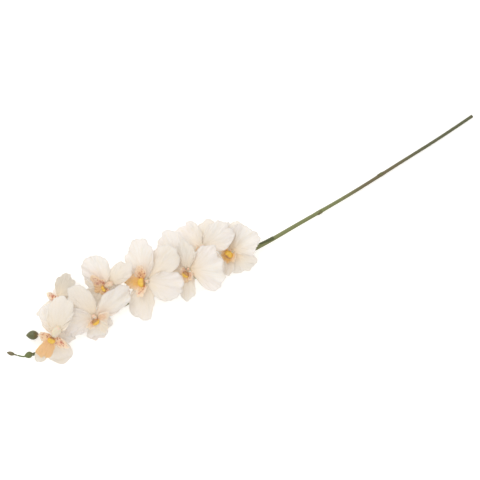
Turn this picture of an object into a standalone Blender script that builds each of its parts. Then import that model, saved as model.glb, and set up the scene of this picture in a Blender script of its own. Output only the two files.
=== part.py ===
"""Moth orchid flower spike, cut and lying on a table: a long bare stem, eight open flowers that
overlap towards the tip, and three closed buds.

Lengths are in millimetres and angles in degrees until MM turns them into metres.
X runs along the spike, from the tip at -X to the cut end at +X. Z is up, and the table is Z = 0.
Each flower is modelled about its own frame: +Z is the way the flower faces, +Y points to its
dorsal sepal and +X to the right petal as the flower is looked at.
"""

import math

import bmesh
import bpy
from mathutils import Matrix, Vector

MM = 0.001

# The stem: x, y, z of its middle line, and its radius. Measured from the middle of the cut end.
STEM_ROUTE = (
    (0, 0, 2.3, 2.3),
    (-60, -6, 3.2, 2.3),
    (-128, -11, 4.6, 2.4),
    (-212, -17, 7, 2.6),
    (-296, -20, 9.5, 2.9),
    (-366, -22, 11, 3.2),
    (-450, -19, 11.5, 3.0),
    (-530, -9, 11, 2.6),
    (-600, -3, 10, 2.2),
    (-670, -4, 9, 1.9),
    (-718, -8, 8.5, 1.6),
    (-740, -4, 8, 1.2),
    (-750, 3, 8, 1.0),
)
STEM_POINTS = 56

# The middle of the spike's bounding box in those same lengths: it becomes X = Y = 0.
BOX_MIDDLE = (-381.12, 16.86)

# Buds: where the stalk leaves the stem (an x along it, or the point past its end), the bud's foot
# and tip, and its thickness.
BUDS = {
    "bud_large": dict(knot=-698, foot=(-708, 15, 12), tip=(-725, 23, 12), thickness=14),
    "bud_middle": dict(knot=-722, foot=(-728, -5, 17), tip=(-741, -3, 18), thickness=10),
    "bud_tip": dict(start=(-750.4, 3.3, 8), foot=(-753, 6, 8), tip=(-762, 14.5, 8), thickness=6),
}
BUD_STALK_POINTS = 5
BUD_RINGS = 8
BUD_STALK_RADIUS = 1.0

TEPAL_THICKNESS = 1.0
LIP_THICKNESS = 1.0
GAP = 0.4
RECEPTACLE_RADIUS = 2.8
CLAW_START = RECEPTACLE_RADIUS + GAP
CLAW_WIDTH = 3.2
# How high tepals stand along the flower's axis, so that they cross without touching.
FRONT_LAYER = 2.6
PETAL_LAYER = 0.8
SEPAL_LAYER = -0.8
LOW_SEPAL_LAYER = -2.2
BACK_LAYER = -3.6
FAN = 78
TEPAL_GRID = (12, 5)
# The table bends a sheet that reaches it over this height.
TABLE_BEND = 1.5

STALK_RADIUS = 1.3
STALK_POINTS = 12
STALK_HANDLE = 0.4
STALK_END = -6
KNOT_BEHIND = 14
# The receptacle that the tepals grow from, and the column: shift away from the lip, height, radius.
COLUMN_PROFILE = (
    (0, -4.6, 2.4),
    (0, -3.4, RECEPTACLE_RADIUS),
    (0, 3.2, RECEPTACLE_RADIUS),
    (0.8, 4.8, 2.6),
    (1.6, 7.4, 2.7),
    (1.9, 9.8, 3.0),
    (1.5, 11.6, 1.8),
)

# A tepal: its length and width, its slope at the foot and at the tip, how far its edges fold to
# the front, and the height and number of the waves in its edge.
# taper under 1 puts its widest place further from the foot.
SEPAL = dict(length=52, width=38, foot=-2, tip=-16, fold=-1.5, ruffle=0.5, waves=2, taper=0.8)
PETAL = dict(length=55, width=58, foot=6, tip=-14, fold=-2, ruffle=1.2, waves=3, taper=0.8)
TEPALS = {
    "dorsal_sepal": dict(SEPAL, heading=90, layer=SEPAL_LAYER),
    "left_sepal": dict(SEPAL, heading=218, layer=LOW_SEPAL_LAYER),
    "right_sepal": dict(SEPAL, heading=322, layer=SEPAL_LAYER),
    "left_petal": dict(PETAL, heading=158, layer=PETAL_LAYER),
    "right_petal": dict(PETAL, heading=22, layer=PETAL_LAYER),
}

# The lip: the heading of its front lobe, how far that lobe, the two side lobes and the notches
# between them reach, and the slopes of the front and of the side lobes at the foot and the rim.
LIP = dict(heading=270, front=26, side=22, notch=12, front_slopes=(25, -25), side_slopes=(8, 45))
LIP_GRID = (14, 4)
LIP_FAN = 130
LIP_DROP = 1.2
FRONT_SPREAD = 34
SIDE_SPREAD = 30
SIDE_TURN = 94

# Flowers from the cut end to the tip. place is the flower's middle; faces is the compass heading
# that it leans to, and lean how far it leans from upright; dorsal is the compass heading of its
# dorsal sepal; size scales it. The rest changes one of its parts.
FLOWERS = (
    dict(
        place=(-403, -8.6, 29), faces=175, lean=30, dorsal=42, size=0.88,
        dorsal_sepal=dict(length=46), right_petal=dict(heading=62, length=52, width=58),
        right_sepal=dict(heading=313, foot=-2, tip=-56, length=45, width=52, layer=LOW_SEPAL_LAYER),
        left_sepal=dict(heading=266, width=21, length=41, foot=2, tip=-4, layer=SEPAL_LAYER),
        left_petal=dict(heading=165, foot=-25, tip=-50, layer=BACK_LAYER),
        lip=dict(heading=255, front=19, side=18, notch=15),
    ),
    dict(
        place=(-438, 15, 29), faces=120, lean=24, dorsal=52, size=0.9,
        dorsal_sepal=dict(length=47), left_petal=dict(heading=153, width=48, length=56),
        right_petal=dict(heading=44, width=50, foot=12), right_sepal=dict(width=28, length=47),
        lip=dict(front=18, side=15),
    ),
    dict(
        place=(-470, -4, 37), faces=172, lean=30, dorsal=38, size=1.0,
        dorsal_sepal=dict(heading=114, length=44, width=32, foot=15, tip=-8, layer=FRONT_LAYER),
        right_sepal=dict(heading=279, length=43, width=27, foot=4, tip=-6),
        left_petal=dict(heading=147, length=62, width=56, foot=8, tip=-8),
        right_petal=dict(heading=28, length=52, width=66),
        left_sepal=dict(heading=211, foot=2, tip=0), lip=dict(heading=262, front=16, side=18),
    ),
    dict(
        place=(-532.2, 11, 36), faces=172, lean=20, dorsal=10, size=1.05,
        left_petal=dict(heading=155, width=42), right_petal=dict(heading=37, width=42, length=52),
        dorsal_sepal=dict(heading=99, length=57, width=42),
        left_sepal=dict(heading=212, width=26, length=38, foot=2, tip=-10),
        right_sepal=dict(heading=305, length=56, width=40),
        lip=dict(heading=234, front=28, side=27, side_slopes=(16, 34)),
    ),
    dict(
        place=(-584.7, 32.2, 38), faces=220, lean=25, dorsal=17, size=0.92,
        dorsal_sepal=dict(heading=89, length=48, width=31),
        left_petal=dict(heading=172, width=49, length=50, foot=4),
        right_petal=dict(heading=10, width=22, length=20, foot=-20, tip=-32, layer=BACK_LAYER),
        right_sepal=dict(heading=277), left_sepal=dict(heading=231, foot=-25, tip=-60, length=63),
        lip=dict(heading=256, front=18, side=24, side_slopes=(26, 28)),
    ),
    dict(
        place=(-622, -0.5, 36), faces=265, lean=26, dorsal=97, size=0.98,
        dorsal_sepal=dict(heading=96, length=54), left_petal=dict(heading=159, width=47, length=47),
        right_petal=dict(heading=4, width=34, length=60, foot=3, tip=-14),
        left_sepal=dict(heading=243, length=59, width=32, foot=-5, tip=-54),
        right_sepal=dict(heading=285, length=28, width=24), lip=dict(front=26, side=25),
    ),
    dict(
        place=(-656, 48, 30), faces=140, lean=48, dorsal=32, size=0.85,
        dorsal_sepal=dict(heading=89, width=55, length=42, foot=-7, tip=-19, layer=FRONT_LAYER),
        left_petal=dict(foot=-12, tip=-44, length=47, width=36),
        left_sepal=dict(heading=229, foot=5, tip=-1, length=58, width=20, layer=LOW_SEPAL_LAYER),
        right_petal=dict(heading=30, foot=-39, tip=-70, length=42, width=44),
        right_sepal=dict(heading=308, foot=-48, tip=-66, length=44, width=28, layer=LOW_SEPAL_LAYER),
        lip=dict(heading=263, front=11, side=19),
    ),
    dict(
        place=(-686.5, 4.6, 41), faces=255, lean=26, dorsal=42, size=0.98,
        dorsal_sepal=dict(heading=98, width=40, length=62, foot=6, tip=-8, layer=FRONT_LAYER),
        left_petal=dict(heading=123, width=32, length=44, foot=-26, tip=-50),
        right_petal=dict(heading=330, width=46, length=46, foot=-37, tip=-42, layer=BACK_LAYER),
        right_sepal=dict(heading=307, length=70, width=38, foot=-4, tip=-46, layer=LOW_SEPAL_LAYER),
        left_sepal=dict(heading=266, length=53, width=20, layer=SEPAL_LAYER),
        lip=dict(heading=266, front=34, side=27),
    ),
)


def compass(degrees):
    """A level unit vector, 0 along +X and 90 along +Y."""
    return Vector((math.cos(math.radians(degrees)), math.sin(math.radians(degrees)), 0))


def smooth_route(points, count):
    """count points along a Catmull-Rom curve through points, which may carry a radius too."""
    ends = [points[0], *points, points[-1]]
    spans = len(points) - 1
    route = []
    for step in range(count):
        along = step / (count - 1) * spans
        span = min(int(along), spans - 1)
        t = along - span
        before, start, stop, after = ends[span : span + 4]
        route.append(
            tuple(
                0.5 * (2 * q + (r - p) * t + (2 * p - 5 * q + 4 * r - s) * t**2
                       + (3 * q - p - 3 * r + s) * t**3)
                for p, q, r, s in zip(before, start, stop, after)
            )
        )
    return route


def material(name, colour, roughness):
    finish = bpy.data.materials.new(name)
    finish.use_nodes = True
    shader = finish.node_tree.nodes["Principled BSDF"]
    shader.inputs["Base Color"].default_value = (*colour, 1)
    shader.inputs["Roughness"].default_value = roughness
    shader.inputs["Metallic"].default_value = 0
    return finish


def add(name, data, finish, parent):
    """A new object of the spike, with its own material and its place in its parent's frame."""
    thing = bpy.data.objects.new(name, data)
    data.materials.append(material(name, *finish))
    collection.objects.link(thing)
    thing.parent = parent
    return thing


def frame(name, parent, matrix):
    empty = bpy.data.objects.new(name, None)
    collection.objects.link(empty)
    empty.parent = parent
    empty.matrix_local = matrix
    return empty


def tube(name, route, finish, parent, resolution):
    """A round tube of changing radius along x, y, z, radius points, with closed ends."""
    curve = bpy.data.curves.new(name, "CURVE")
    curve.dimensions = "3D"
    curve.bevel_depth = MM
    curve.bevel_resolution = resolution
    curve.use_fill_caps = True
    line = curve.splines.new("POLY")
    line.points.add(len(route) - 1)
    for point, (x, y, z, radius) in zip(line.points, route):
        point.co = (x * MM, y * MM, z * MM, 1)
        point.radius = radius
    line.use_smooth = True
    return add(name, curve, finish, parent)


def sheet(name, columns, rows, place, thickness, finish, parent):
    """A thin shell: a grid of columns by rows, moved to place(across, along), both 0 to 1."""
    shape = bmesh.new()
    bmesh.ops.create_grid(shape, x_segments=columns, y_segments=rows, size=0.5)
    for vertex in shape.verts:
        vertex.co = place(vertex.co.x + 0.5, vertex.co.y + 0.5) * MM
    bmesh.ops.remove_doubles(shape, verts=shape.verts, dist=0.02 * MM)
    for face in shape.faces:
        face.smooth = True
    mesh = bpy.data.meshes.new(name)
    shape.to_mesh(mesh)
    shape.free()
    thing = add(name, mesh, finish, parent)
    wall = thing.modifiers.new("wall", "SOLIDIFY")
    wall.thickness = thickness * MM
    wall.offset = 0
    return thing


def laid_on_table(point, to_world, thickness):
    """The point, raised where its sheet would sink into the table, with a soft bend there."""
    world = to_world @ point
    rest = thickness / 2
    over = world.z - rest
    if over < -TABLE_BEND:
        world.z = rest
    elif over < TABLE_BEND:
        world.z = rest + (over + TABLE_BEND) ** 2 / (4 * TABLE_BEND)
    return to_world.inverted() @ world


def tepal_point(shape, across, along):
    """A point of a tepal's middle surface in its flower's frame: rays fan out from its claw, and
    their ends trace an ellipse that stands on the claw."""
    ray = math.radians(FAN) * (2 * across - 1)
    half_length, half_width = shape["length"] / 2, shape["width"] / 2
    reach = 2 * math.cos(ray) / half_length / (
        (math.cos(ray) / half_length) ** 2 + (math.sin(ray) / half_width) ** 2
    )
    out = shape["length"] * (along * reach * math.cos(ray) / shape["length"]) ** shape["taper"]
    side = along * reach * math.sin(ray) + (1 - along) * CLAW_WIDTH * (across - 0.5)
    foot, tip = math.radians(shape["foot"]), math.radians(shape["tip"])
    slope = foot + (tip - foot) * out / shape["length"]
    radius = shape["length"] / (tip - foot)
    lift = shape["fold"] * (side / half_width) ** 2
    lift += shape["ruffle"] * along**3 * math.sin(shape["waves"] * math.pi * (2 * across - 1))
    x = CLAW_START + radius * (math.sin(slope) - math.sin(foot)) - lift * math.sin(slope)
    z = shape["layer"] - radius * (math.cos(slope) - math.cos(foot)) + lift * math.cos(slope)
    return Matrix.Rotation(math.radians(shape["heading"]), 3, "Z") @ Vector((x, side, z))


def lip_point(lip, across, along):
    """A point of the lip's middle surface in its flower's frame: rays turn round its foot, short
    at the notches and long at the front lobe and at the two side lobes, which stand up."""
    ray = LIP_FAN * (2 * across - 1)
    front = math.exp(-((ray / FRONT_SPREAD) ** 2))
    side = math.exp(-(((abs(ray) - SIDE_TURN) / SIDE_SPREAD) ** 2))
    reach = lip["notch"] + (lip["front"] - lip["notch"]) * front + (lip["side"] - lip["notch"]) * side
    blend = min(abs(ray) / SIDE_TURN, 1) ** 1.5
    foot, rim = (
        math.radians(a + (b - a) * blend) for a, b in zip(lip["front_slopes"], lip["side_slopes"])
    )
    slope = foot + (rim - foot) * along
    radius = reach / (rim - foot)
    out = radius * (math.sin(slope) - math.sin(foot))
    rise = -radius * (math.cos(slope) - math.cos(foot))
    start = compass(lip["heading"]) * (CLAW_START + LIP_DROP) + Vector((0, 0, PETAL_LAYER))
    return start + compass(lip["heading"] + ray) * out + Vector((0, 0, rise))


def flower_matrix(flower):
    """The flower's frame in the spike's frame, in millimetres."""
    lean = math.radians(flower["lean"])
    facing = compass(flower["faces"]) * math.sin(lean) + Vector((0, 0, math.cos(lean)))
    up = compass(flower["dorsal"])
    up = (up - facing * up.dot(facing)).normalized()
    turned = Matrix((up.cross(facing), up, facing)).transposed().to_4x4()
    return Matrix.Translation(flower["place"]) @ turned @ Matrix.Scale(flower["size"], 4)


def stem_at(x):
    """The middle of the stem at this x, and its radius there."""
    for right, left in zip(stem_line, stem_line[1:]):
        if right[0] >= x >= left[0]:
            part = (right[0] - x) / (right[0] - left[0])
            *middle, radius = (a + (b - a) * part for a, b in zip(right, left))
            return Vector(middle), radius


def bezier(start, first, second, stop, t):
    """The point at t of a cubic curve with these two ends and two handles."""
    return (
        start * (1 - t) ** 3 + 3 * first * t * (1 - t) ** 2 + 3 * second * t**2 * (1 - t) + stop * t**3
    )


def branch(x, towards):
    """Where a stalk leaves the stem's side at this x for a point, and its first direction."""
    knot, stem_radius = stem_at(x)
    away = Vector((0, towards.y - knot.y, towards.z - knot.z)).normalized()
    return knot + away * (stem_radius + GAP), away


def stalk_points(start, away, stop, arriving, count):
    """count points along a bend from start to stop, with its directions at both ends."""
    handle = (stop - start).length * STALK_HANDLE
    return [
        bezier(start, start + away * handle, stop - arriving * handle, stop, step / (count - 1))
        for step in range(count)
    ]


def stalk_route(flower, to_spike):
    """From the stem's surface, round to the flower's back, through it and up the column."""
    start, away = branch(flower["place"][0] + KNOT_BEHIND, to_spike.translation)
    back = to_spike @ Vector((0, 0, STALK_END))
    facing = (to_spike.to_3x3() @ Vector((0, 0, 1))).normalized()
    route = []
    for step, point in enumerate(stalk_points(start, away, back, facing, STALK_POINTS)):
        t = step / (STALK_POINTS - 1)
        route.append((*point, STALK_RADIUS * (1 + 0.5 * (1 - t) ** 6 + 0.3 * t**6)))
    away = -compass(dict(LIP, **flower.get("lip", {}))["heading"])
    for shift, height, radius in COLUMN_PROFILE:
        route.append((*(to_spike @ (away * shift + Vector((0, 0, height)))), radius * flower["size"]))
    return route


def bud_route(bud):
    """From the stem along a thin stalk, then the swelling and narrowing bud."""
    foot, tip = Vector(bud["foot"]), Vector(bud["tip"])
    if "start" in bud:
        start = Vector(bud["start"])
        away = (foot - start).normalized()
    else:
        start, away = branch(bud["knot"], foot)
    bend = stalk_points(start, away, foot, (tip - foot).normalized(), BUD_STALK_POINTS)
    route = [(*point, BUD_STALK_RADIUS) for point in bend]
    for step in range(1, BUD_RINGS + 1):
        along = step / BUD_RINGS
        swell = math.sin(math.pi * along**0.85) ** 0.75
        route.append((*foot.lerp(tip, along), max(bud["thickness"] / 2 * swell, 0.7)))
    return route


for old in list(bpy.data.objects):
    bpy.data.objects.remove(old, do_unlink=True)
collection = bpy.data.collections.new("orchid_flower_spike")
bpy.context.scene.collection.children.link(collection)
spike = frame("spike", None, Matrix.Translation((-BOX_MIDDLE[0] * MM, -BOX_MIDDLE[1] * MM, 0)))

GREEN = ((0.24, 0.27, 0.12), 0.5)
IVORY = ((0.93, 0.89, 0.82), 0.7)
PEACH = ((0.9, 0.55, 0.3), 0.5)

stem_line = smooth_route(STEM_ROUTE, STEM_POINTS)
tube("main_stem", stem_line, GREEN, spike, 2)
for name, bud in BUDS.items():
    tube(name, bud_route(bud), GREEN, spike, 3)

for number, flower in enumerate(FLOWERS, start=1):
    to_spike = flower_matrix(flower)
    scaled = to_spike.copy()
    scaled.translation = scaled.translation * MM
    base = frame(f"flower_{number}", spike, scaled)
    tube(f"flower_{number}_stalk", stalk_route(flower, to_spike), GREEN, spike, 2)
    for part, shape in TEPALS.items():
        tepal = dict(shape, **flower.get(part, {}))
        wall = TEPAL_THICKNESS / flower["size"]
        sheet(
            f"flower_{number}_{part}",
            *TEPAL_GRID,
            lambda across, along: laid_on_table(
                tepal_point(tepal, across, along), to_spike, TEPAL_THICKNESS
            ),
            wall,
            IVORY,
            base,
        )
    sheet(
        f"flower_{number}_lip",
        *LIP_GRID,
        lambda across, along: lip_point(dict(LIP, **flower.get("lip", {})), across, along),
        LIP_THICKNESS / flower["size"],
        PEACH,
        base,
    )
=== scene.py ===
import math

import bpy
from mathutils import Matrix, Vector, noise


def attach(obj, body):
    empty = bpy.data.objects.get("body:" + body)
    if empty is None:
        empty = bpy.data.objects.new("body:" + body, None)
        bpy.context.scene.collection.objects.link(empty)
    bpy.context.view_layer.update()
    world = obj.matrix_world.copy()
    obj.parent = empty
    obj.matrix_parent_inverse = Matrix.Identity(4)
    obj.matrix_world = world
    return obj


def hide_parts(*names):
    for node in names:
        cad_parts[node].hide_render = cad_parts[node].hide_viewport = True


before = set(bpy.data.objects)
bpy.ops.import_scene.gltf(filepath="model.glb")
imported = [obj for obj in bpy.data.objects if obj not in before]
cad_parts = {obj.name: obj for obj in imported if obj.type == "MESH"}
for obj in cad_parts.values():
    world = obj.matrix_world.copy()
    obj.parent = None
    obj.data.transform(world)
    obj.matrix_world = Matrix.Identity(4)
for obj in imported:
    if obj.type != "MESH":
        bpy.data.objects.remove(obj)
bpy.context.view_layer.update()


# ---------------------------------------------------------------------------------------------
# Main stem
# The flower stalk of a moth orchid, round and smooth, cut from its plant: olive green by the
# flowers, browner halfway down and dark olive at the cut. It thins from the first flower to the
# tip and swells a little at every knot, where a small dry scale clasps it.

MM = 0.001
# The cut end's middle in the frame. Lengths below are in millimetres from there.
CUT_END = Vector((381.12, -16.86, 0))
# x, y, z and radius from the cut end to the tip.
STEM_ROUTE = (
    (0, 0, 2.3, 2.3),
    (-60, -6, 3.2, 2.3),
    (-128, -11, 4.6, 2.4),
    (-212, -17, 7, 2.6),
    (-296, -20, 9.5, 2.9),
    (-366, -22, 11, 3.2),
    (-450, -19, 11.5, 3.0),
    (-530, -9, 11, 2.6),
    (-600, -3, 10, 2.2),
    (-670, -4, 9, 1.9),
    (-718, -8, 8.5, 1.6),
    (-740, -4, 8, 1.2),
    (-750, 3, 8, 1.0),
)
STEM_POINTS = 180
STEM_SIDES = 20
KNOTS = (-158, -262, -391, -424, -456, -522, -574, -607, -642, -677, -698, -722)
# The stem is this share thicker at a knot, over about this length.
KNOT_SWELL = 0.16
KNOT_LENGTH = 4
# Points of a stalk closer than this, in metres, become one.
STALK_MERGE = 0.00001


class Value:
    """A number or colour that a finish works out at each point. Arithmetic adds Math nodes."""

    def __init__(self, finish, socket):
        self.finish, self.socket = finish, socket

    def math(self, operation, *terms):
        return self.finish.node("ShaderNodeMath", {"operation": operation}, dict(enumerate(terms)))

    def __add__(self, other):
        return self.math("ADD", self, other)

    def __sub__(self, other):
        return self.math("SUBTRACT", self, other)

    def __rsub__(self, other):
        return self.math("SUBTRACT", other, self)

    def __mul__(self, other):
        return self.math("MULTIPLY", self, other)

    def between(self, low, high):
        """0 below low, 1 above high, and smooth from one to the other."""
        return self.finish.node(
            "ShaderNodeMapRange",
            {"interpolation_type": "SMOOTHSTEP"},
            {"Value": self, "From Min": low, "From Max": high},
        )

    __radd__, __rmul__ = __add__, __mul__


class Finish:
    """A material. What is the same all over a surface is set on its shader's own sockets."""

    def __init__(self, name, **settings):
        self.material = bpy.data.materials.new(name)
        self.material.use_nodes = True
        self.tree = self.material.node_tree
        self.shader = self.tree.nodes["Principled BSDF"]
        for socket, value in settings.items():
            self.shader.inputs[socket.replace("_", " ")].default_value = value

    def node(self, kind, settings, sockets, output=0):
        made = self.tree.nodes.new(kind)
        for key, value in settings.items():
            setattr(made, key, value)
        for key, value in sockets.items():
            if isinstance(value, Value):
                self.tree.links.new(value.socket, made.inputs[key])
            else:
                made.inputs[key].default_value = value
        return Value(self, made.outputs[output])

    def mix(self, first, second, amount):
        """The first colour where amount is 0 and the second where it is 1."""
        first, second = (
            colour if isinstance(colour, Value) else (*colour, 1) for colour in (first, second)
        )
        return self.node(
            "ShaderNodeMix", {"data_type": "RGBA"}, {0: amount, 6: first, 7: second}, output=2
        )

    def place(self):
        """The point's place in the frame, in metres."""
        return self.node("ShaderNodeTexCoord", {}, {}, output=3)

    def parts(self, where):
        """x, y and z of a place."""
        return [self.node("ShaderNodeSeparateXYZ", {}, {0: where}, output=n) for n in range(3)]

    def sheet_place(self):
        """Across and along the piece's own sheet, both 0 to 1."""
        return self.parts(self.node("ShaderNodeUVMap", {"uv_map": "UVMap"}, {}))[:2]

    def kept(self, name):
        """The number that the piece's mesh keeps under this name."""
        return self.node("ShaderNodeAttribute", {"attribute_name": name}, {}, output=2)

    def stretched(self, x, y, z=0.0):
        """A place made of these three numbers."""
        return self.node("ShaderNodeCombineXYZ", {}, {0: x, 1: y, 2: z})

    def grain(self, where, scale):
        """Cloudy noise about 0.5 at this many cells to one unit of where."""
        return self.node("ShaderNodeTexNoise", {}, {"Vector": where, "Scale": scale, "Detail": 2})

    def spots(self, where, scale):
        """The distance to the nearest of scattered points, about 0 to 1."""
        return self.node("ShaderNodeTexVoronoi", {}, {"Vector": where, "Scale": scale})

    def colour(self, value):
        self.tree.links.new(value.socket, self.shader.inputs["Base Color"])

    def roughness(self, value):
        self.tree.links.new(value.socket, self.shader.inputs["Roughness"])

    def relief(self, height, depth, strength):
        """Fine relief, depth metres deep where height goes from 0 to 1."""
        bump = self.node(
            "ShaderNodeBump", {}, {"Height": height, "Distance": depth, "Strength": strength}
        )
        self.tree.links.new(bump.socket, self.shader.inputs["Normal"])


def smooth_route(points, count):
    """count points along a Catmull-Rom curve through points, which may carry a radius too."""
    ends = [points[0], *points, points[-1]]
    spans = len(points) - 1
    route = []
    for step in range(count):
        along = step / (count - 1) * spans
        span = min(int(along), spans - 1)
        t = along - span
        before, start, stop, after = ends[span : span + 4]
        route.append(
            tuple(
                0.5 * (2 * q + (r - p) * t + (2 * p - 5 * q + 4 * r - s) * t**2
                       + (3 * q - p - 3 * r + s) * t**3)
                for p, q, r, s in zip(before, start, stop, after)
            )
        )
    return route


def keep_piece(piece, finish, slot, *nodes):
    """The finished piece with its finish, as part of the spike, in place of these solids."""
    piece.data.materials.clear()
    piece.data.materials.append(finish.material)
    for polygon in piece.data.polygons:
        polygon.use_smooth = True
    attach(piece, "root")
    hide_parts(*nodes)


def keep_number(piece, name, number_at):
    """A number on every point of the piece, for its finish to read: number_at(vertex)."""
    kept = piece.data.attributes.new(name, "FLOAT", "POINT")
    for vertex in piece.data.vertices:
        kept.data[vertex.index].value = number_at(vertex)


def stalk(name, route, sides):
    """A round stalk of changing radius along x, y, z, radius points, as a closed mesh."""
    bpy.ops.object.select_all(action="DESELECT")
    bpy.ops.curve.primitive_nurbs_path_add(location=(0, 0, 0))
    piece = bpy.context.object
    piece.name = name
    curve = piece.data
    curve.splines.clear()
    line = curve.splines.new("POLY")
    line.points.add(len(route) - 1)
    for point, (x, y, z, radius) in zip(line.points, route):
        point.co = (*((Vector((x, y, z)) + CUT_END) * MM), 1)
        point.radius = radius
    curve.dimensions = "3D"
    curve.bevel_depth = MM
    curve.bevel_resolution = (sides - 4) // 2
    curve.use_fill_caps = True
    bpy.ops.object.convert(target="MESH")
    piece = bpy.context.object
    bpy.ops.object.mode_set(mode="EDIT")
    bpy.ops.mesh.select_all(action="SELECT")
    bpy.ops.mesh.remove_doubles(threshold=STALK_MERGE)
    bpy.ops.mesh.normals_make_consistent(inside=False)
    bpy.ops.object.mode_set(mode="OBJECT")
    return piece


stem_finish = Finish("stem skin", Specular_IOR_Level=0.45)
here = stem_finish.place()
x, y, z = stem_finish.parts(here)
DARK_OLIVE, BROWN_OLIVE, OLIVE, LEAF_GREEN = (
    (0.105, 0.110, 0.052), (0.150, 0.115, 0.060), (0.205, 0.225, 0.088), (0.150, 0.190, 0.060)
)
skin = stem_finish.mix(OLIVE, BROWN_OLIVE, x.between(0.14, 0.20) * 0.85)
skin = stem_finish.mix(skin, DARK_OLIVE, x.between(0.23, 0.31))
skin = stem_finish.mix(LEAF_GREEN, skin, x.between(-0.36, -0.02))
streaks = stem_finish.grain(stem_finish.stretched(x * 0.06, y, z), 1400)
blotches = stem_finish.grain(here, 60)
skin = stem_finish.mix(skin, DARK_OLIVE, streaks.between(0.5, 0.75) * 0.45)
skin = stem_finish.mix(skin, BROWN_OLIVE, blotches.between(0.55, 0.72) * 0.35)
stem_finish.colour(skin)
stem_finish.roughness(0.36 + blotches * 0.14)
stem_finish.relief(streaks, 0.00025, 0.6)

stem_line = []
for x_mm, y_mm, z_mm, radius in smooth_route(STEM_ROUTE, STEM_POINTS):
    swell = sum(math.exp(-(((x_mm - knot) / KNOT_LENGTH) ** 2)) for knot in KNOTS)
    stem_line.append((x_mm, y_mm, z_mm, radius * (1 + KNOT_SWELL * swell)))
stem = stalk("stem", stem_line, STEM_SIDES)
keep_piece(stem, stem_finish, "stem_green", "main_stem")


def stem_at(x_mm):
    """The middle of the stem at this x, and its radius there."""
    for right, left in zip(stem_line, stem_line[1:]):
        if right[0] >= x_mm >= left[0]:
            part = (right[0] - x_mm) / (right[0] - left[0])
            *middle, radius = (a + (b - a) * part for a, b in zip(right, left))
            return Vector(middle), radius


# ---------------------------------------------------------------------------------------------
# Buds
# Three closed buds on thin stalks at the tip. Each is a pod of folded sepals that meet in three
# seams: the largest dark green and brown at its foot, the next mid green, and the last one olive.

BUDS = {
    "bud_large": dict(
        knot=-698, foot=(-708, 15, 12), tip=(-725, 23, 12), thickness=14,
        colours=((0.120, 0.125, 0.048), (0.150, 0.085, 0.032)),
    ),
    "bud_middle": dict(
        knot=-722, foot=(-728, -5, 17), tip=(-741, -3, 18), thickness=10,
        colours=((0.135, 0.165, 0.045), (0.110, 0.110, 0.035)),
    ),
    "bud_tip": dict(
        start=(-750.4, 3.3, 8), foot=(-753, 6, 8), tip=(-762, 14.5, 8), thickness=6,
        colours=((0.180, 0.150, 0.075), (0.130, 0.125, 0.045)),
    ),
}
# A stalk starts this far inside the stem.
GAP = 0.4
STALK_HANDLE = 0.4
BUD_STALK_RADIUS = 1.0
BUD_STALK_POINTS = 14
BUD_RINGS = 30
BUD_SIDES = 36
BUD_TIP_RADIUS = 0.4
SEAM_DEPTH = 0.09


def branch(x_mm, towards):
    """Where a stalk leaves the stem's side at this x for a point, and its first direction."""
    knot, stem_radius = stem_at(x_mm)
    away = Vector((0, towards.y - knot.y, towards.z - knot.z)).normalized()
    return knot + away * (stem_radius - GAP), away


def stalk_points(start, away, stop, arriving, count):
    """count points along a bend from start to stop, with its directions at both ends."""
    handle = (stop - start).length * STALK_HANDLE
    first, second = start + away * handle, stop - arriving * handle
    points = []
    for step in range(count):
        t = step / (count - 1)
        points.append(
            start * (1 - t) ** 3 + 3 * first * t * (1 - t) ** 2 + 3 * second * t**2 * (1 - t)
            + stop * t**3
        )
    return points


for name, bud in BUDS.items():
    pod_colour, foot_colour = bud["colours"]
    foot, tip = Vector(bud["foot"]), Vector(bud["tip"])
    axis, length = (tip - foot).normalized(), (tip - foot).length
    if "start" in bud:
        start, away = Vector(bud["start"]), axis
    else:
        start, away = branch(bud["knot"], foot)
    route = [
        (*point, BUD_STALK_RADIUS)
        for point in stalk_points(start, away, foot, axis, BUD_STALK_POINTS)
    ]
    for step in range(1, BUD_RINGS + 1):
        along = step / BUD_RINGS
        swell = math.sin(math.pi * along**0.85) ** 0.75
        radius = max(bud["thickness"] / 2 * swell, BUD_TIP_RADIUS)
        route.append((*foot.lerp(tip, along), radius))
    pod = stalk(name + "_pod", route, BUD_SIDES)
    side = axis.orthogonal().normalized()
    up = axis.cross(side)
    keep_number(
        pod, "podded", lambda vertex: (vertex.co / MM - CUT_END - foot).dot(axis) / length
    )
    for vertex in pod.data.vertices:
        spot = vertex.co / MM - CUT_END - foot
        along = spot.dot(axis) / length
        if along > 0:
            around = math.atan2(spot.dot(up), spot.dot(side))
            seam = SEAM_DEPTH * math.sin(math.pi * min(along, 1)) * (
                abs(math.cos(1.5 * around)) ** 6
            )
            ray = spot - axis * spot.dot(axis)
            vertex.co -= ray * seam * MM
    bud_finish = Finish(f"{name} skin", Specular_IOR_Level=0.6)
    mottle = bud_finish.grain(bud_finish.place(), 350)
    podded = bud_finish.kept("podded")
    skin = bud_finish.mix(foot_colour, pod_colour, (podded + mottle * 0.3).between(0.15, 0.55))
    skin = bud_finish.mix(skin, (0.30, 0.33, 0.16), mottle.between(0.55, 0.8) * 0.5)
    bud_finish.colour(skin)
    bud_finish.roughness(0.22 + mottle * 0.2)
    bud_finish.relief(mottle, 0.0003, 0.5)
    keep_piece(pod, bud_finish, "bud_green", name)


# ---------------------------------------------------------------------------------------------
# Scales
# A small dry triangular scale, the bract, clasps the stem under each flower stalk and bud stalk.
# Each is a bent papery sheet, brown at its edge. The two on the bare stem lie close to it, and a
# longer green one sheathes it just before the first flower.

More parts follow.
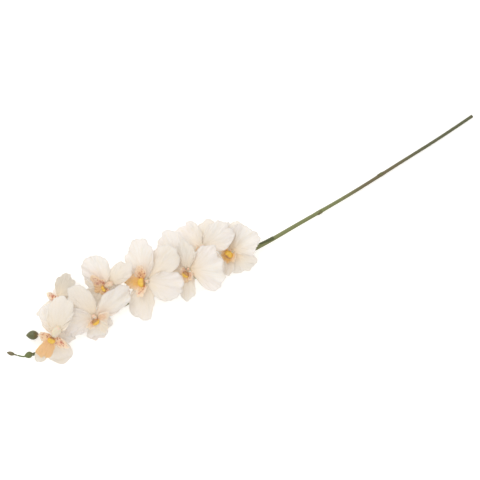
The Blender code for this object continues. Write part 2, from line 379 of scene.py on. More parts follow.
# Each one's knot, its length, how far its tip stands off the stem, and how green it is.
SCALES = (
    (-158, 8, 0.0, 0.6), (-262, 8, 0.0, 0.6), (-342, 24, 1.2, 1.0),
    *((knot_x, 8, 0.9, 0.0) for knot_x in KNOTS[2:]),
)
SCALE_GRID = (10, 12)
SCALE_THICKNESS = 0.35
SCALE_RIM = 0.5
# They sit on alternate sides, turned this far from the top of the stem, and wrap round it this
# far to each side.
SCALE_TURN = math.radians(60)
SCALE_WRAP = 1.5
SCALE_CLEAR = 0.35
# A sheet thins over this share of its length, and its points closer than this, in metres, become
# one.
RIM_SHARE = 0.2
SHEET_MERGE = 0.00002


def sheet(name, columns, rows, place, thickness, thin_rim):
    """A thin shell: a grid bent to place(across, along), both 0 to 1, in millimetres from the cut
    end. It gets thinner from its middle to thin_rim of its thickness at the rim."""
    bpy.ops.object.select_all(action="DESELECT")
    bpy.ops.mesh.primitive_grid_add(
        x_subdivisions=columns, y_subdivisions=rows, size=1, calc_uvs=True, location=(0, 0, 0)
    )
    piece = bpy.context.object
    piece.name = name
    body = piece.vertex_groups.new(name="body")
    for vertex in piece.data.vertices:
        across, along = vertex.co.x + 0.5, vertex.co.y + 0.5
        vertex.co = (place(across, along) + CUT_END) * MM
        body.add([vertex.index], min(1, max(0, (1 - along) / RIM_SHARE)), "REPLACE")
    bpy.ops.object.mode_set(mode="EDIT")
    bpy.ops.mesh.select_all(action="SELECT")
    bpy.ops.mesh.remove_doubles(threshold=SHEET_MERGE)
    bpy.ops.object.mode_set(mode="OBJECT")
    wall = piece.modifiers.new("wall", "SOLIDIFY")
    wall.thickness = thickness * MM
    wall.offset = 0
    wall.vertex_group = "body"
    wall.thickness_vertex_group = thin_rim
    bpy.ops.object.modifier_apply(modifier="wall")
    return piece


scale_finish = Finish("dry scale", Roughness=0.65)
across, along = scale_finish.sheet_place()
DRY_OLIVE, DRY_BROWN, SHEATH_GREEN = (
    (0.28, 0.25, 0.11), (0.20, 0.11, 0.05), (0.085, 0.100, 0.035)
)
dry = (along + scale_finish.grain(along, 9) * 0.3).between(0.4, 1.0)
paper = scale_finish.mix(DRY_OLIVE, DRY_BROWN, dry)
scale_finish.colour(scale_finish.mix(paper, SHEATH_GREEN, scale_finish.kept("fresh")))
ribs = scale_finish.grain(scale_finish.stretched(across * 26, along * 2), 1)
scale_finish.relief(ribs, 0.0002, 0.6)

for index, (knot_x, length, flare, fresh) in enumerate(SCALES):
    knot, _ = stem_at(knot_x)
    ahead, _ = stem_at(knot_x - 3)
    run = (ahead - knot).normalized()
    upward = (Vector((0, 0, 1)) - run * run.z).normalized()
    sideways = run.cross(upward)
    turn = SCALE_TURN if index % 2 == 0 else -SCALE_TURN

    def scale_point(across, along):
        """Wrapped round the stem at its foot, 2 mm before the knot, and pointed at its tip."""
        spread = (1 - along**1.6) * SCALE_WRAP + 0.02
        around = turn + spread * (2 * across - 1)
        _, stem_radius = stem_at(knot_x + 2 - length * along)
        away = stem_radius + SCALE_CLEAR + flare * along**2
        ring = upward * math.cos(around) + sideways * math.sin(around)
        return knot + run * (length * along - 2) + ring * away

    scale = sheet(f"scale_{index + 1}", *SCALE_GRID, scale_point, SCALE_THICKNESS, SCALE_RIM)
    keep_number(scale, "fresh", lambda vertex: fresh)
    keep_piece(scale, scale_finish, "stem_green")


# ---------------------------------------------------------------------------------------------
# Flower stalks and columns
# Each flower hangs on a slim green stalk that turns round to its back and swells where the
# sepals and petals grow out. In the flower's middle stands the column, a short ivory post.

# How far in front of the flower's middle a sepal or petal starts.
PETAL_LAYER = 0.8
SEPAL_LAYER = -0.8
LOW_SEPAL_LAYER = -2.2
BACK_LAYER = -3.6
FRONT_LAYER = 2.6
# Flowers from the cut end to the tip: the middle, the compass heading that it leans to and how
# far it leans, the heading of its dorsal sepal, and its scale. The rest changes one of its parts.
FLOWERS = (
    dict(
        place=(-403, -8.6, 29), faces=175, lean=30, dorsal=42, size=0.88,
        dorsal_sepal=dict(length=46), right_petal=dict(heading=55, length=51, width=60, blush=1.2),
        right_sepal=dict(
            heading=315, foot=-2, tip=-56, length=45, width=56, layer=LOW_SEPAL_LAYER, blush=1.6
        ),
        left_sepal=dict(
            heading=266, width=26, length=41, foot=2, tip=-4, layer=SEPAL_LAYER, blush=1.4
        ),
        left_petal=dict(heading=165, foot=-25, tip=-50, layer=BACK_LAYER),
        lip=dict(heading=255, front=19, side=18, notch=15, deep=0.55, throat=1.2, marks=0.0),
        bead=dict(size=1.7, out=6.5, brown=-0.4), column=dict(size=0.5, warm=0.9),
    ),
    dict(
        place=(-438, 15, 29), faces=120, lean=24, dorsal=52, size=0.9,
        dorsal_sepal=dict(length=47), left_petal=dict(heading=153, width=48, length=56),
        right_petal=dict(heading=44, width=50, foot=12), right_sepal=dict(width=28, length=47),
        lip=dict(front=18, side=15, deep=0.0, throat=0.0, marks=0.0, rim=2.0), bead=dict(size=0.7),
        column=dict(warm=0.1),
    ),
    dict(
        place=(-470, -4, 37), faces=172, lean=30, dorsal=38, size=1.0,
        dorsal_sepal=dict(
            heading=114, length=44, width=32, foot=15, tip=-8, layer=FRONT_LAYER, crease=2.2,
            frill=4.0, ragged=0.2,
        ),
        right_sepal=dict(heading=279, length=43, width=27, foot=4, tip=-6),
        left_petal=dict(heading=147, length=62, width=56, foot=8, tip=-8),
        right_petal=dict(heading=28, length=54, width=66, blush=1.1),
        left_sepal=dict(heading=211, foot=2, tip=0),
        lip=dict(
            heading=262, front=16, side=18, deep=0.5, throat=0.75, marks=0.45, rim=0.5,
            left=0.6, right=0.85,
        ),
        bead=dict(brown=0.5), column=dict(size=0.5, warm=0.9),
    ),
    dict(
        place=(-532.2, 11, 36), faces=172, lean=20, dorsal=10, size=1.05,
        left_petal=dict(heading=155, width=42),
        right_petal=dict(heading=37, width=42, length=52, crease=0.4),
        dorsal_sepal=dict(heading=99, length=57, width=42, crease=2.2),
        left_sepal=dict(heading=212, width=26, length=38, foot=2, tip=-10),
        right_sepal=dict(heading=305, length=56, width=40),
        lip=dict(
            heading=234, front=28, side=27, side_slopes=(16, 34), turns=(94, 82), deep=0.7,
            throat=1.0, marks=1.0, rim=0.4, right=0.85,
        ),
        bead=dict(size=1.4, out=5.6, aside=1.8), column=dict(size=0.7, warm=0.4),
    ),
    dict(
        place=(-584.7, 32.2, 38), faces=220, lean=25, dorsal=17, size=0.92,
        dorsal_sepal=dict(heading=89, length=48, width=31),
        left_petal=dict(heading=172, width=49, length=50, foot=4, ragged=0.05),
        right_petal=dict(heading=10, width=22, length=20, foot=-20, tip=-32, layer=BACK_LAYER),
        right_sepal=dict(heading=277), left_sepal=dict(heading=231, foot=-25, tip=-60, length=63),
        lip=dict(
            heading=256, front=18, side=24, side_slopes=(26, 28), turns=(82, 94), deep=0.8,
            throat=0.6, marks=1.2, rim=0.1, left=1.4, right=0.9,
        ),
        bead=dict(brown=0.3, out=6.0, aside=2.2), column=dict(size=1.4, back=1.0, warm=0.5),
    ),
    dict(
        place=(-622, -0.5, 36), faces=265, lean=26, dorsal=97, size=0.98,
        dorsal_sepal=dict(heading=91, length=54), left_petal=dict(heading=159, width=47, length=47),
        right_petal=dict(heading=3, width=36, length=62, foot=3, tip=-14),
        left_sepal=dict(heading=243, length=59, width=32, foot=-5, tip=-54, cream=0.2),
        right_sepal=dict(heading=285, length=28, width=24),
        lip=dict(front=26, side=25, deep=0.0, throat=0.5, marks=0.2, left=0.8),
        bead=dict(size=1.25, brown=0.4, out=5.5, aside=-3.0), column=dict(size=0.9, warm=0.5),
    ),
    dict(
        place=(-656, 48, 30), faces=140, lean=48, dorsal=32, size=0.85,
        dorsal_sepal=dict(
            heading=89, width=55, length=42, foot=-7, tip=-19, layer=FRONT_LAYER, blush=1.0,
            painted_shade=0.7,
        ),
        left_petal=dict(foot=-12, tip=-44, length=47, width=36, glow=0.7),
        left_sepal=dict(heading=229, foot=5, tip=-1, length=58, width=20, layer=LOW_SEPAL_LAYER),
        right_petal=dict(heading=30, foot=-39, tip=-70, length=42, width=44),
        right_sepal=dict(
            heading=308, foot=-48, tip=-66, length=44, width=28, layer=LOW_SEPAL_LAYER
        ),
        lip=dict(
            heading=263, front=11, side=19, deep=0.0, throat=0.0, marks=1.2, rim=1.2, left=1.3,
            ragged=0.05,
        ),
        bead=dict(size=0.7), column=dict(size=0.6),
    ),
    dict(
        place=(-686.5, 4.6, 41), faces=255, lean=26, dorsal=42, size=0.98,
        dorsal_sepal=dict(
            heading=98, width=40, length=62, foot=6, tip=-8, layer=FRONT_LAYER, crease=2.0,
            frill=3.0,
        ),
        left_petal=dict(heading=123, width=32, length=44, foot=-26, tip=-50),
        right_petal=dict(heading=330, width=46, length=46, foot=-37, tip=-42, layer=BACK_LAYER),
        right_sepal=dict(heading=307, length=70, width=38, foot=-4, tip=-46, layer=LOW_SEPAL_LAYER),
        left_sepal=dict(heading=266, length=53, width=20, layer=SEPAL_LAYER, cream=1.2),
        lip=dict(
            heading=266, front=34, side=27, deep=0.9, throat=0.5, marks=1.6, rim=0.4,
            ragged=0.14, square=4,
        ),
        bead=dict(size=1.3), column=dict(size=1.8, back=4.0, warm=0.05),
    ),
)
RECEPTACLE_RADIUS = 2.8
STALK_RADIUS = 1.3
STALK_POINTS = 30
STALK_SIDES = 16
# It ends this far behind the flower's middle, and leaves the stem this far nearer the cut end.
STALK_END = -6
KNOT_BEHIND = 14
# The stalk turns from green to ivory over this last stretch.
PALE_REACH = 24
LIP_HEADING = 270
# Shift away from the lip, height and radius, from the flower's back up to the column's foot.
RECEPTACLE_PROFILE = (
    (0, -5.2, 1.9), (0, -4.6, 2.4), (0, -3.4, 2.7), (0, -1, 2.8), (0, 1.5, 2.8), (0, 2.6, 2.5),
    (0, 3.2, 1.6),
)
RECEPTACLE_POINTS = 20
# The column's scale, how far it is set back from the lip, and how peach it is.
COLUMN = dict(size=0.8, back=0.0, warm=0.6)
COLUMN_PROFILE = (
    (-3.2, 0.8, 1.2), (-2.2, 1.2, 2.8), (-0.4, 1.8, 3.4), (1.6, 2.6, 3.5), (3.4, 3.4, 3.6),
    (5.2, 4.2, 3.4), (6.6, 4.8, 2.6), (7.4, 5.0, 1.6), (7.8, 5.1, 0.6),
)
COLUMN_POINTS = 24
COLUMN_SIDES = 20


def compass(degrees):
    """A level unit vector, 0 along +X and 90 along +Y."""
    return Vector((math.cos(math.radians(degrees)), math.sin(math.radians(degrees)), 0))


def flower_matrix(flower):
    """The flower's own frame, in millimetres from the cut end: +Z is the way that it faces, +Y
    points to its dorsal sepal, and +X to its right petal."""
    lean = math.radians(flower["lean"])
    facing = compass(flower["faces"]) * math.sin(lean) + Vector((0, 0, math.cos(lean)))
    up = compass(flower["dorsal"])
    up = (up - facing * up.dot(facing)).normalized()
    turned = Matrix((up.cross(facing), up, facing)).transposed().to_4x4()
    return Matrix.Translation(flower["place"]) @ turned @ Matrix.Scale(flower["size"], 4)


STALK_GREEN, STALK_BROWN, STALK_PALE, STALK_IVORY = (
    (0.20, 0.22, 0.085), (0.30, 0.20, 0.11), (0.52, 0.52, 0.27), (0.76, 0.68, 0.50)
)
pedicel_finish = Finish("flower stalk skin", Roughness=0.45)
mottle = pedicel_finish.grain(pedicel_finish.place(), 220)
pale = pedicel_finish.kept("pale")
skin = pedicel_finish.mix(STALK_GREEN, STALK_BROWN, mottle.between(0.55, 0.75) * 0.5)
skin = pedicel_finish.mix(skin, STALK_PALE, pale.between(0.0, 0.5))
pedicel_finish.colour(pedicel_finish.mix(skin, STALK_IVORY, pale.between(0.4, 0.8)))
pedicel_finish.relief(mottle, 0.0003, 0.5)

IVORY, DEEP_IVORY, COLUMN_PEACH, FRECKLE = (
    (0.83, 0.76, 0.62), (0.81, 0.70, 0.55), (0.83, 0.57, 0.40), (0.62, 0.26, 0.18)
)
column_finish = Finish(
    "column flesh", Roughness=0.4, Subsurface_Weight=0.2, Subsurface_Scale=0.002
)
here = column_finish.place()
warm, freckles = column_finish.kept("warm"), 1 - column_finish.spots(here, 450).between(0.20, 0.38)
flesh = column_finish.mix(IVORY, DEEP_IVORY, column_finish.grain(here, 260))
flesh = column_finish.mix(flesh, COLUMN_PEACH, warm)
column_finish.colour(column_finish.mix(flesh, FRECKLE, freckles * warm * 0.8))
column_finish.relief(column_finish.grain(here, 500), 0.0003, 0.5)

for number, flower in enumerate(FLOWERS, start=1):
    to_spike = flower_matrix(flower)
    start, away = branch(flower["place"][0] + KNOT_BEHIND, to_spike.translation)
    back = to_spike @ Vector((0, 0, STALK_END))
    facing = (to_spike.to_3x3() @ Vector((0, 0, 1))).normalized()
    route = []
    for step, point in enumerate(stalk_points(start, away, back, facing, STALK_POINTS)):
        t = step / (STALK_POINTS - 1)
        route.append((*point, STALK_RADIUS * (1 + 0.5 * (1 - t) ** 6 + 0.3 * t**6)))
    for shift, height, radius in smooth_route(RECEPTACLE_PROFILE, RECEPTACLE_POINTS):
        route.append((*(to_spike @ Vector((0, shift, height))), radius * flower["size"]))
    pedicel = stalk(f"pedicel_{number}", route, STALK_SIDES)
    middle = CUT_END + to_spike.translation
    keep_number(
        pedicel, "pale", lambda vertex: max(0, 1 - (vertex.co / MM - middle).length / PALE_REACH)
    )
    keep_piece(pedicel, pedicel_finish, "stem_green", f"flower_{number}_stalk")
    away = -compass(flower.get("lip", {}).get("heading", LIP_HEADING))
    column_shape = dict(COLUMN, **flower.get("column", {}))
    stout, back = column_shape["size"], column_shape["back"]
    route = [
        (
            *(to_spike @ (away * (shift * stout + back) + Vector((0, 0, height)))),
            radius * stout * flower["size"],
        )
        for shift, height, radius in smooth_route(COLUMN_PROFILE, COLUMN_POINTS)
    ]
    column = stalk(f"column_{number}", route, COLUMN_SIDES)
    keep_number(column, "warm", lambda vertex: column_shape["warm"])
    keep_piece(column, column_finish, "petal_ivory")


# ---------------------------------------------------------------------------------------------
# Sepals and petals
# Soft white tissue, about a millimetre thick and thinner at the rim, with creases that fan out
# from the foot and a wavy edge. Three narrower sepals stand behind two broad petals.

# A tepal starts at this radius with this width, and its rays fan out this many degrees each way.
CLAW_START = RECEPTACLE_RADIUS + 0.4
CLAW_WIDTH = 7.0
FAN = 78
TEPAL_GRID = (60, 34)
TEPAL_THICKNESS = 0.9
TEPAL_RIM = 0.45
TABLE_BEND = 1.5
# foot and tip are its slopes in degrees where it starts and ends, fold how far its sides stand
# before its middle (below zero: behind), ruffle and waves the height and number of the broad waves
# at its rim, and taper makes it narrower near the foot the smaller it is. frill is the height of
# the fine waves at the rim, crease that of the folds that fan out from the foot, ragged how far
# the outline strays, blush the warm tint near the foot, cream the tint of the whole (partly its own
# colour, partly painted warm shade on tepals that lie in shade), painted_shade how far painted
# shade greys a tepal that faces the light, and glow the warm tint at the tip.
SEPAL = dict(
    length=52, width=38, foot=-2, tip=-16, fold=-1.5, ruffle=0.5, waves=2, taper=0.8,
    frill=2.2, crease=1.2, ragged=0.09, blush=0.8, cream=0.6, painted_shade=0.0, glow=0.0,
)
PETAL = dict(
    length=55, width=58, foot=6, tip=-14, fold=-2, ruffle=1.2, waves=3, taper=0.8,
    frill=3.6, crease=1.7, ragged=0.11, blush=0.75, cream=0.15, painted_shade=0.0, glow=0.0,
)
TEPALS = {
    "dorsal_sepal": dict(SEPAL, heading=90, layer=SEPAL_LAYER),
    "left_sepal": dict(SEPAL, heading=218, layer=LOW_SEPAL_LAYER),
    "right_sepal": dict(SEPAL, heading=322, layer=SEPAL_LAYER),
    "left_petal": dict(PETAL, heading=158, layer=PETAL_LAYER),
    "right_petal": dict(PETAL, heading=22, layer=PETAL_LAYER),
}


def laid_on_table(point):
    """The point, raised where its sheet would sink into the table, with a soft bend there."""
    rest = TEPAL_THICKNESS / 2
    over = point.z - rest
    if over < -TABLE_BEND:
        point.z = rest
    elif over < TABLE_BEND:
        point.z = rest + (over + TABLE_BEND) ** 2 / (4 * TABLE_BEND)
    return point


def wave(seed, across, along=0):
    """Smooth noise, about -1 to 1."""
    return noise.noise(Vector((across, along, seed * 7.31))) * 1.6


def tepal_point(shape, seed, across, along):
    """A point of a tepal's middle surface in its flower's frame: rays fan out from its claw, and
    their ends trace an ellipse that stands on the claw."""
    ray = math.radians(FAN) * (2 * across - 1)
    half_length, half_width = shape["length"] / 2, shape["width"] / 2
    reach = 2 * math.cos(ray) / half_length / (
        (math.cos(ray) / half_length) ** 2 + (math.sin(ray) / half_width) ** 2
    )
    stray = 0.7 * wave(seed, 2.2 * ray) + 0.6 * wave(seed + 5, 6 * ray)
    stray += 0.25 * wave(seed + 7, 17 * ray)
    reach *= 1 + shape["ragged"] * along * stray
    out = shape["length"] * (along * reach * math.cos(ray) / shape["length"]) ** shape["taper"]
    side = along * reach * math.sin(ray) + (1 - along) * CLAW_WIDTH * (across - 0.5)
    foot, tip = math.radians(shape["foot"]), math.radians(shape["tip"])
    slope = foot + (tip - foot) * out / shape["length"]
    radius = shape["length"] / (tip - foot)
    lift = shape["fold"] * (side / half_width) ** 2
    lift += shape["ruffle"] * along**3 * math.sin(shape["waves"] * math.pi * (2 * across - 1))
    lift += shape["frill"] * along**4 * (wave(seed + 11, 5 * ray) + 0.4 * wave(seed + 13, 13 * ray))
    pleats = wave(seed + 17, 4 * ray, 1.2 * along) + 0.4 * wave(seed + 23, 11 * ray, 2 * along)
    valley = math.exp(-((wave(seed + 29, 3.2 * ray, 0.9 * along) / 0.10) ** 2))
    lift += shape["crease"] * min(1, 1.5 * along) ** 2 * (pleats - 0.8 * valley)
    lift -= 0.5 * math.exp(-((side / 1.6) ** 2)) * (1 - along**2)
    x = CLAW_START + radius * (math.sin(slope) - math.sin(foot)) - lift * math.sin(slope)
    z = shape["layer"] - radius * (math.cos(slope) - math.cos(foot)) + lift * math.cos(slope)
    return Matrix.Rotation(math.radians(shape["heading"]), 3, "Z") @ Vector((x, side, z))


# Painted light: the tissue glows faintly warm, standing in for light that comes through it and
# lifting the shade between petals.
petal_finish = Finish(
    "petal tissue", Roughness=0.62, Specular_IOR_Level=0.3, Subsurface_Weight=0.4,
    Subsurface_Scale=0.004, Subsurface_Radius=(1.0, 0.95, 0.88), Sheen_Weight=0.08,
    Emission_Color=(1.0, 0.88, 0.76, 1), Emission_Strength=0.03,
)
WHITE, ROSE, CREAM, BLUSH, PAINTED_SHADE, RIM_SHADE, CREASE_SHADE = (
    (0.845, 0.814, 0.790), (0.840, 0.780, 0.764), (0.825, 0.732, 0.595), (0.890, 0.710, 0.510),
    (0.490, 0.440, 0.370), (0.700, 0.680, 0.650), (0.740, 0.675, 0.630),
)
across, along = petal_finish.sheet_place()
here = petal_finish.place()
# Each petal's fold streaks differ, because they also turn on where it lies.
drift = petal_finish.parts(here)[0] * 40
fold_streaks = petal_finish.grain(petal_finish.stretched(across * 44, along * 3.2, drift), 1)
fine_fold_streaks = petal_finish.grain(petal_finish.stretched(across * 120, along * 9, drift), 1)
clouds = petal_finish.grain(here, 55)
# Painted shade: cream along the fold streaks stands in for the warm shade in the folds; the cloudy
# part is the tissue's own uneven tone.
fold_shade_and_clouds = fold_streaks.between(0.45, 0.72) * 0.4 + clouds.between(0.5, 0.75) * 0.3
tissue = petal_finish.mix(WHITE, ROSE, petal_finish.grain(here, 22).between(0.35, 0.65))
tissue = petal_finish.mix(tissue, CREAM, fold_shade_and_clouds)
# Partly painted shade: the cream tint is partly the tepal's own colour and partly laid on to warm
# tepals that lie in shade.
tissue = petal_finish.mix(tissue, CREAM, petal_finish.kept("cream"))
# Painted shade: greys a tepal that faces the light and would look too bright, such as flower 7's
# dorsal sepal.
tissue = petal_finish.mix(tissue, PAINTED_SHADE, petal_finish.kept("painted_shade"))
# Painted shade: fine greyer streaks darken the creases.
tissue = petal_finish.mix(tissue, CREASE_SHADE, fine_fold_streaks.between(0.52, 0.75) * 0.35)
# Painted shade: the outer rim is darker where the tissue curves away from the light.
tissue = petal_finish.mix(tissue, RIM_SHADE, along.between(0.94, 1.0) * 0.5)
tissue = petal_finish.mix(tissue, BLUSH, petal_finish.kept("blush"))
petal_finish.colour(tissue)
petal_finish.relief(fold_streaks * 0.7 + fine_fold_streaks * 0.3, 0.0008, 0.7)

for number, flower in enumerate(FLOWERS, start=1):
    to_spike = flower_matrix(flower)
    for index, (part, shape) in enumerate(TEPALS.items()):
        tepal = dict(shape, **flower.get(part, {}))
        seed = number * 5 + index
        foot = to_spike.translation + CUT_END
        reach = tepal["length"] * flower["size"]

        def tepal_place(across, along):
            """A point of this tepal, in millimetres from the cut end."""
            return laid_on_table(to_spike @ tepal_point(tepal, seed, across, along))

        def blush_at(vertex):
            """The warm tints: one that fades out from the foot and one at the tip."""
            out = (vertex.co / MM - foot).length / reach
            at_foot, at_tip = max(0, 1 - 1.2 * out) ** 1.6, min(1, max(0, 4 * out - 3))
            return tepal["blush"] * at_foot + tepal["glow"] * at_tip

        def cream_at(vertex):
            """The cream tint, a little weaker towards the tip."""
            return tepal["cream"] * max(0, 1 - 0.4 * (vertex.co / MM - foot).length / reach)

        piece = sheet(f"{part}_{number}", *TEPAL_GRID, tepal_place, TEPAL_THICKNESS, TEPAL_RIM)
        keep_number(piece, "blush", blush_at)
        keep_number(piece, "cream", cream_at)
        keep_number(piece, "painted_shade", lambda vertex: tepal["painted_shade"])
        keep_piece(piece, petal_finish, "petal_ivory", f"flower_{number}_{part}")


# ---------------------------------------------------------------------------------------------
# Lips
# The third petal: a fleshy peach tongue with a broad front lobe and two side lobes that stand up
# beside the column, orange in the throat, with red-brown speckles and a golden bead at its foot.

# front, side and notch are its reaches at the front lobe, at the side lobes and between them, and
# the slopes are degrees at the foot and at the rim. deep is how orange the front lobe is, throat
# how far the gold reaches from the foot to the rim, marks how strong the red-brown specks and
# blotch on a side lobe are, rim how pale its rim is, and left and right the scales of the two
# side lobes. turns are their turns away from the front lobe, and square makes that lobe's end
# squarer.
LIP = dict(
    heading=LIP_HEADING, front=26, side=22, notch=12, front_slopes=(25, -25), side_slopes=(8, 45),
    turns=(94, 94), deep=0.5, throat=0.8, marks=0.5, rim=0.75, ragged=0.10, left=1.0, right=1.0,
    square=2,
)
LIP_GRID = (100, 32)
LIP_THICKNESS = 1.0
LIP_RIM = 0.6
LIP_FAN = 130
LIP_DROP = 1.2
LIP_LAYER = 1.5
# How wide the front lobe and the side lobes are, in degrees about the foot.
FRONT_SPREAD = 34
SIDE_SPREAD = 30
# The bead's scale, how far its brown end reaches (below zero: at its front), and its place ahead of
# and beside the flower's middle.
BEAD = dict(size=1.15, brown=0.0, out=7.6, aside=0.0)
# Its half width, half length and height.
BEAD_RADII = (4.6, 3.8, 2.8)
BEAD_UP = 4.6
BEAD_SEGMENTS = 28
BEAD_RINGS = 18
# A groove splits its top in two. These are shares of its height and half width.
GROOVE_DEPTH = 0.35
GROOVE_WIDTH = 0.3


def lip_point(lip, seed, across, along):
    """A point of the lip's middle surface in its flower's frame: rays turn round its foot, short
    at the notches and long at the front lobe and at the two side lobes, which stand up."""
    ray = LIP_FAN * (2 * across - 1)
    front = math.exp(-(abs(ray / FRONT_SPREAD) ** lip["square"]))
    turn = lip["turns"][0] if ray < 0 else lip["turns"][1]
    side = math.exp(-(((abs(ray) - turn) / SIDE_SPREAD) ** 2))
    reach = (
        lip["notch"] + (lip["front"] - lip["notch"]) * front + (lip["side"] - lip["notch"]) * side
    )
    stray = wave(seed + 3, ray / 16) + 0.6 * wave(seed + 4, ray / 6)
    reach *= 1 + lip["ragged"] * along * stray
    reach *= 1 + ((lip["left"] if ray < 0 else lip["right"]) - 1) * side
    blend = min(abs(ray) / turn, 1) ** 1.5
    foot, rim = (
        math.radians(a + (b - a) * blend) for a, b in zip(lip["front_slopes"], lip["side_slopes"])
    )
    slope = foot + (rim - foot) * along
    radius = reach / (rim - foot)
    out = radius * (math.sin(slope) - math.sin(foot))
    rise = -radius * (math.cos(slope) - math.cos(foot))
    rise += 1.7 * along**2 * (wave(seed, ray / 14) + 0.5 * wave(seed + 1, ray / 6))
    start = compass(lip["heading"]) * (CLAW_START + LIP_DROP) + Vector((0, 0, LIP_LAYER))
    return start + compass(lip["heading"] + ray) * out + Vector((0, 0, rise))


lip_finish = Finish(
    "lip flesh", Roughness=0.5, Specular_IOR_Level=0.35, Subsurface_Weight=0.5,
    Subsurface_Scale=0.004, Subsurface_Radius=(1.0, 0.8, 0.6),
)
SIDE_PEACH, FRONT_ORANGE, RIM_CREAM, THROAT_GOLD, RED_BROWN = (
    (0.90, 0.63, 0.46), (0.86, 0.50, 0.25), (0.88, 0.755, 0.64), (0.84, 0.47, 0.155),
    (0.43, 0.09, 0.06),
)
across, along = lip_finish.sheet_place()
here = lip_finish.place()
clouds = lip_finish.grain(here, 120)
dots = 1 - lip_finish.spots(here, 400).between(0.27, 0.40)
off_middle = lip_finish.node("ShaderNodeMath", {"operation": "ABSOLUTE"}, {0: across - 0.5})
on_side = off_middle.between(0.12, 0.24)
front_lobe = lip_finish.mix(RIM_CREAM, FRONT_ORANGE, lip_finish.kept("deep"))
pale = (along + clouds * 0.4 - 0.2).between(0.5, 1.0) * lip_finish.kept("rim")
side_lobe = lip_finish.mix(SIDE_PEACH, RIM_CREAM, pale)
flesh = lip_finish.mix(front_lobe, side_lobe, on_side)
inside = along + clouds * 0.3 - lip_finish.kept("throat")
flesh = lip_finish.mix(flesh, THROAT_GOLD, (1 - inside.between(-0.45, 0.0)) * (1 - on_side * 0.55))
marks = lip_finish.kept("marks")
speckled = along.between(0.20, 0.34) * (1 - along.between(0.70, 0.95)) * on_side * marks
flesh = lip_finish.mix(flesh, RED_BROWN, speckled * dots * clouds.between(0.30, 0.45))
blotch = along.between(0.30, 0.48) * (1 - along.between(0.55, 0.75)) * on_side * marks
flesh = lip_finish.mix(flesh, RED_BROWN, blotch * clouds.between(0.40, 0.60) * 0.5)
streaks = lip_finish.grain(lip_finish.stretched(across * 60, along * 2), 1).between(0.5, 0.62)
flesh = lip_finish.mix(flesh, RED_BROWN, streaks * (1 - along.between(0.22, 0.46)) * 0.4)
lip_finish.colour(flesh)
lip_finish.relief(lip_finish.grain(lip_finish.stretched(across * 70, along * 6), 1), 0.0006, 0.6)

GOLD, DEEP_GOLD, BEAD_BROWN = (0.91, 0.62, 0.12), (0.85, 0.50, 0.06), (0.52, 0.26, 0.10)
bead_finish = Finish(
    "golden bead", Roughness=0.35, Subsurface_Weight=0.1, Subsurface_Scale=0.001
)
here = bead_finish.place()
gold = bead_finish.mix(GOLD, DEEP_GOLD, bead_finish.grain(here, 300))
brown = bead_finish.kept("tip").between(0.45, 0.85)
bead_finish.colour(bead_finish.mix(gold, BEAD_BROWN, brown))
bead_finish.relief(bead_finish.grain(here, 900), 0.0003, 0.5)

for number, flower in enumerate(FLOWERS, start=1):
    to_spike = flower_matrix(flower)
    lip_shape = dict(LIP, **flower.get("lip", {}))

    def lip_place(across, along):
        """A point of this lip, in millimetres from the cut end."""
        return to_spike @ lip_point(lip_shape, number, across, along)

    lip = sheet(f"lip_{number}", *LIP_GRID, lip_place, LIP_THICKNESS, LIP_RIM)
    for key in ("deep", "throat", "marks", "rim"):
        keep_number(lip, key, lambda vertex: lip_shape[key])
    keep_piece(lip, lip_finish, "lip_peach", f"flower_{number}_lip")

    bead_shape = dict(BEAD, **flower.get("bead", {}))
    bpy.ops.object.select_all(action="DESELECT")
    bpy.ops.mesh.primitive_uv_sphere_add(
        segments=BEAD_SEGMENTS, ring_count=BEAD_RINGS, radius=1, location=(0, 0, 0)
    )
    bead = bpy.context.object
    bead.name = f"bead_{number}"
    ahead = compass(lip_shape["heading"])
    aside = Vector((-ahead.y, ahead.x, 0))
    half_width, half_length, height = (radius * bead_shape["size"] for radius in BEAD_RADII)
    brown_side = math.copysign(1, bead_shape["brown"])
    keep_number(
        bead, "tip", lambda vertex: abs(bead_shape["brown"]) - vertex.co.y * brown_side
    )
    for vertex in bead.data.vertices:
        spot = vertex.co.copy()
        split = GROOVE_DEPTH * math.exp(-((spot.x / GROOVE_WIDTH) ** 2)) * max(0, spot.z)
        spot = (
            aside * (spot.x * half_width + bead_shape["aside"])
            + ahead * (spot.y * half_length + bead_shape["out"])
            + Vector((0, 0, (spot.z - split) * height + BEAD_UP))
        )
        vertex.co = (to_spike @ spot + CUT_END) * MM
    keep_piece(bead, bead_finish, "lip_peach")


# ---------------------------------------------------------------------------------------------
# Floor, light and camera
# A plain pale floor in the light of a bright room and two soft boxes, seen from straight above
# through a long lens.

FLOOR_SIZE = 8
# The floor glows a little, as a light table does, so it stays white under the petals too.
FLOOR_GLOW = 0.35
ROOM_COLOUR = (0.985, 0.955, 0.91)
ROOM_STRENGTH = 0.78
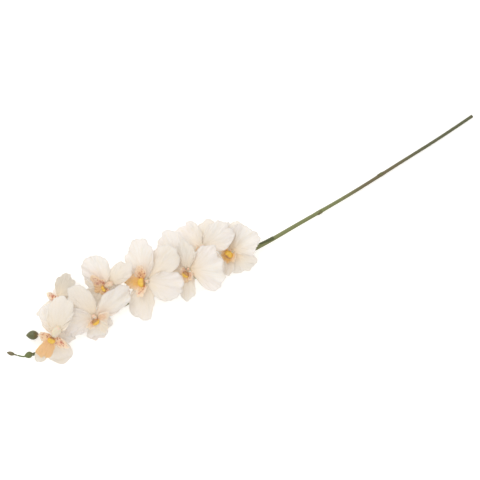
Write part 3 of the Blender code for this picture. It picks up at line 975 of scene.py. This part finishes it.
# The picture is turned this many degrees from the frame.
CAMERA_TURN = 28
VIEW_MIDDLE = CUT_END * MM + Vector((-0.3847, -0.0007, 0.025))
VIEW_WIDTH = 0.696
CAMERA_HEIGHT = 3.2
SENSOR = 36

bpy.ops.object.select_all(action="DESELECT")
bpy.ops.mesh.primitive_plane_add(size=FLOOR_SIZE, location=(0, 0, 0))
floor = bpy.context.object
floor.name = "floor"
floor_finish = Finish(
    "pale floor", Roughness=0.9, Base_Color=(0.98, 0.98, 0.98, 1), Emission_Color=(1, 1, 1, 1),
    Emission_Strength=FLOOR_GLOW,
)
floor.data.materials.append(floor_finish.material)

scene = bpy.context.scene
scene.view_settings.view_transform = "Standard"
world = bpy.data.worlds.new("studio")
world.use_nodes = True
room = world.node_tree.nodes["Background"]
room.inputs["Color"].default_value = (*ROOM_COLOUR, 1)
room.inputs["Strength"].default_value = ROOM_STRENGTH
scene.world = world

turn = math.radians(CAMERA_TURN)
picture_right = Vector((math.cos(turn), -math.sin(turn), 0))
picture_up = Vector((math.sin(turn), math.cos(turn), 0))


def soft_box(name, right, up, height, size, power, colour):
    """A square light that hangs over the floor and points at the middle of the spike."""
    place = picture_right * right + picture_up * up + Vector((0, 0, height))
    bpy.ops.object.light_add(type="AREA", location=place)
    lamp = bpy.context.object
    lamp.name = name
    lamp.data.size = size
    lamp.data.energy = power
    lamp.data.color = colour
    lamp.rotation_euler = (-lamp.location).to_track_quat("-Z", "Y").to_euler()


soft_box(
    "key light", right=-1.1, up=1.2, height=2.3, size=1.6, power=17, colour=(0.90, 0.97, 1.0)
)
soft_box("top light", right=0, up=0, height=3.6, size=2.2, power=14, colour=(1.0, 0.97, 0.93))

bpy.ops.object.camera_add()
camera = bpy.context.object
camera.data.sensor_width = SENSOR
camera.data.lens = SENSOR * (CAMERA_HEIGHT - VIEW_MIDDLE[2]) / VIEW_WIDTH
camera.data.clip_end = 50
turned = Matrix((picture_right, picture_up, Vector((0, 0, 1)))).transposed().to_4x4()
camera.matrix_world = Matrix.Translation((*VIEW_MIDDLE.xy, CAMERA_HEIGHT)) @ turned
scene.camera = camera

bpy.context.view_layer.update()
